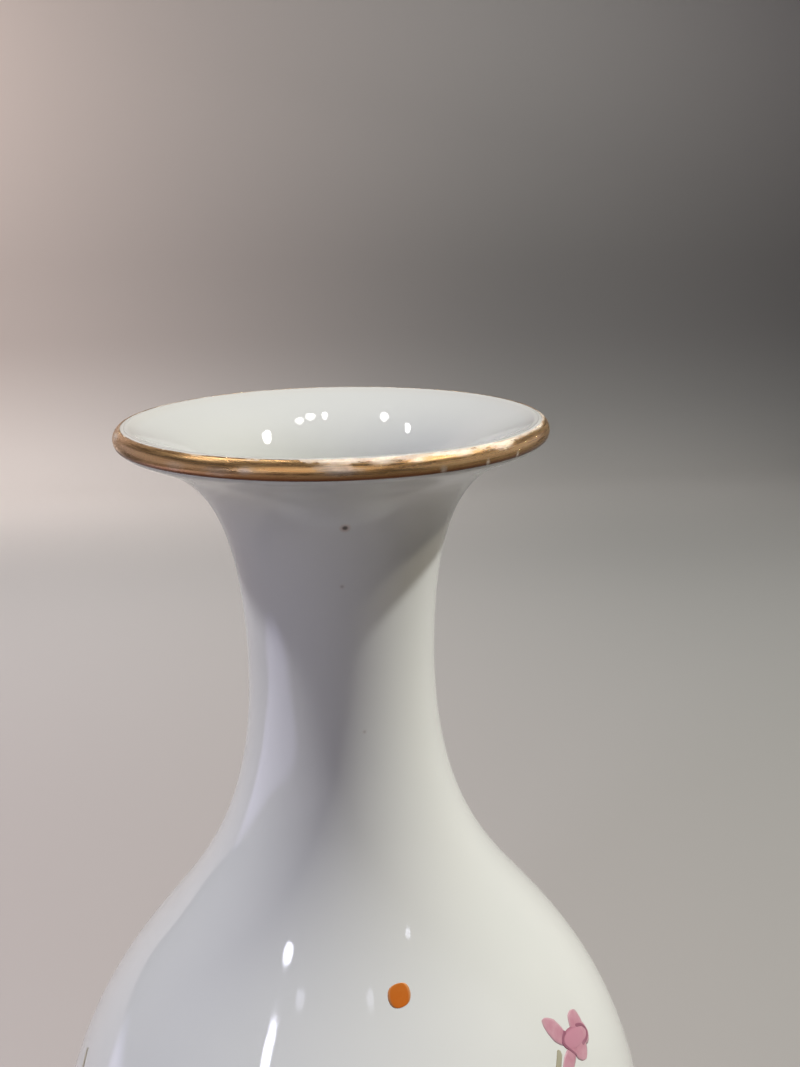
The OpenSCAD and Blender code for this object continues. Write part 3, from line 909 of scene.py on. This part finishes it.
def soft_lamp(name, placed, size, power, colour, height=None, use="both", only=None, spread=180):
    """A soft oval lamp, with its spread in degrees. Its use is to light, to glint in what is glossy, or
    both, and it may be for one collection only."""
    data = bpy.data.lights.new(name, "AREA")
    data.shape = "ELLIPSE"
    data.size = size
    data.size_y = height or size
    data.energy = power
    data.color = hex_colour(colour)[:3]
    data.spread = math.radians(spread)
    light = bpy.data.objects.new(name, data)
    light.matrix_world = placed
    light.visible_camera = False
    light.visible_glossy = use != "light"
    light.visible_diffuse = use != "glint"
    light.light_linking.receiver_collection = only
    bpy.context.scene.collection.objects.link(light)


def lamp(name, azimuth, elevation, distance, size, power, colour,
         height=None, roll=0, use="both", only=None):
    """A soft lamp that faces the vase's neck from a direction in degrees, at a distance."""
    a, e = math.radians(azimuth), math.radians(elevation)
    towards = Vector((math.cos(e) * math.cos(a), math.cos(e) * math.sin(a), math.sin(e)))
    facing = towards.to_track_quat("Z", "Y").to_matrix() @ Matrix.Rotation(math.radians(roll), 3, "Z")
    placed = Matrix.Translation(LAMP_AIM + distance * towards) @ facing.to_4x4()
    soft_lamp(name, placed, size, power, colour, height, use, only)


# A pair of lamps to the right and a broader one to the left throw the lip's shadow on the neck.
lamp("right_lamp_upper", 1, 48, 0.9, 0.045, 6.7, "#fbfbf8", use="light")
lamp("right_lamp_lower", -2, 42, 0.9, 0.045, 2.0, "#fff4dc", use="light")
lamp("left_lamp", 167, 52, 0.9, 0.09, 5.0, "#f9f8fd", use="light")
lamp("front_fill", -134, 16, 1.3, 0.25, 2.8, "#e9e6ff", use="light")
lamp("back_fill", 80, 38, 1.25, 0.8, 1.4, "#fff9f2", use="light")
# Glints in the mouth's glaze: (azimuth and elevation, length, width and roll of the lamp, power)
for azimuth, elevation, length, width, roll, power in (
        (20, 59.5, 0.23, 0.085, 33, 1.2), (144, 59.3, 0.165, 0.042, 163, 0.5),
        (123.5, 67.8, 0.18, 0.032, 30, 0.3), (50, 74.2, 0.15, 0.039, 148, 0.17),
        (68, 73.8, 0.15, 0.040, 123, 0.18), (80.5, 75.3, 0.175, 0.019, 105, 0.17)):
    lamp("mouth_glint", azimuth, elevation, 0.9, length, power, "#fffdfa", width, roll, "glint")
# Two lengths of a strip light in front to the left, and fainter lamps beside them, glint in the shoulder.
for azimuth, elevation, length, width, roll, power in (
        (-132.5, 12.6, 0.15, 0.075, 12, 0.6), (-134, 18.8, 0.105, 0.026, 10, 0.2),
        (-50, 10.9, 0.09, 0.033, 161, 0.06), (-121, 18.8, 0.13, 0.031, 10, 0.04),
        (-80, 20.7, 0.10, 0.036, 174, 0.03)):
    lamp("shoulder_glint", azimuth, elevation, 1.3, length, power, "#e9eaff", width, roll, "glint")
# A low card at the left stands in the neck's glaze as a pale leaf. It is three ovals, one behind the
# other, so that it is softer towards its edge.
for i, share in enumerate((1.1, 1.0, 0.9)):
    lamp("left_card", 186, -21.2, 0.45 + 0.004 * i, 0.46 * share, 0.039 * share ** 2, "#dad6ff",
         0.073 * share, -2, "glint")
# The lamps as the gold shows them, drawn out along the lip, and broad soft ones in front and at both sides
gilt_only = bpy.data.collections.new("gilt_only")
gilt_only.objects.link(gilt_lip)
lamp("right_lamp_in_gold", -15, 50, 0.9, 0.55, 1.1, "#fffaf0", 0.12, -25, "glint", gilt_only)
lamp("left_lamp_in_gold", 167, 52, 0.9, 0.24, 0.5, "#fffcf8", 0.14, 0, "glint", gilt_only)
lamp("front_in_gold", -100, 30, 1.2, 1.6, 3.6, "#fff4ea", 0.8, 0, "glint", gilt_only)
lamp("left_side_in_gold", 176, 11, 0.5, 0.8, 0.27, "#f2ecff", 0.26, 0, "glint", gilt_only)
lamp("right_side_in_gold", -8, 13, 0.5, 1.15, 0.45, "#eef2ff", 0.3, 0, "glint", gilt_only)
# The wall behind is lit from the left, and a strip over the far end of the table lights that.
wall_lamp_turn = Vector((-0.25, -0.85, 0.35)).to_track_quat("Z", "Y").to_matrix().to_4x4()
wall_lamp_place = Matrix.Translation((-1.0, 0.55, 0.86)) @ wall_lamp_turn
soft_lamp("wall_lamp", wall_lamp_place, 0.5, 2.5, "#fff1e8", spread=100)
table_lamp_place = Matrix.Translation((-0.2, 1.0, 0.75))
soft_lamp("table_lamp", table_lamp_place, 2.0, 0.36, "#fff6f2", 0.12, "light", spread=44)

# The air is brighter overhead, and warmer to the right.
world = bpy.data.worlds.new("studio_air")
bpy.context.scene.world = world
world.use_nodes = True
sky = world.node_tree
around = add_node(sky, "ShaderNodeTexCoord").outputs["Generated"]
towards = add_node(sky, "ShaderNodeSeparateXYZ", {"Vector": around})
overhead = add_node(sky, "ShaderNodeMapRange",
                    {"Value": towards.outputs["Z"], "To Min": 0.062, "To Max": 0.12})
to_right = add_node(sky, "ShaderNodeMapRange", {"Value": towards.outputs["X"], "From Min": -1.0})
tint = add_node(sky, "ShaderNodeMix",
                {SHARE: to_right.outputs["Result"], UNDER: hex_colour("#f0efff"),
                 OVER: hex_colour("#c2b79c")}, data_type="RGBA")
air = sky.nodes["Background"]
sky.links.new(tint.outputs[MIXED], air.inputs["Color"])
sky.links.new(overhead.outputs["Result"], air.inputs["Strength"])

bpy.context.scene.view_settings.view_transform = "Standard"
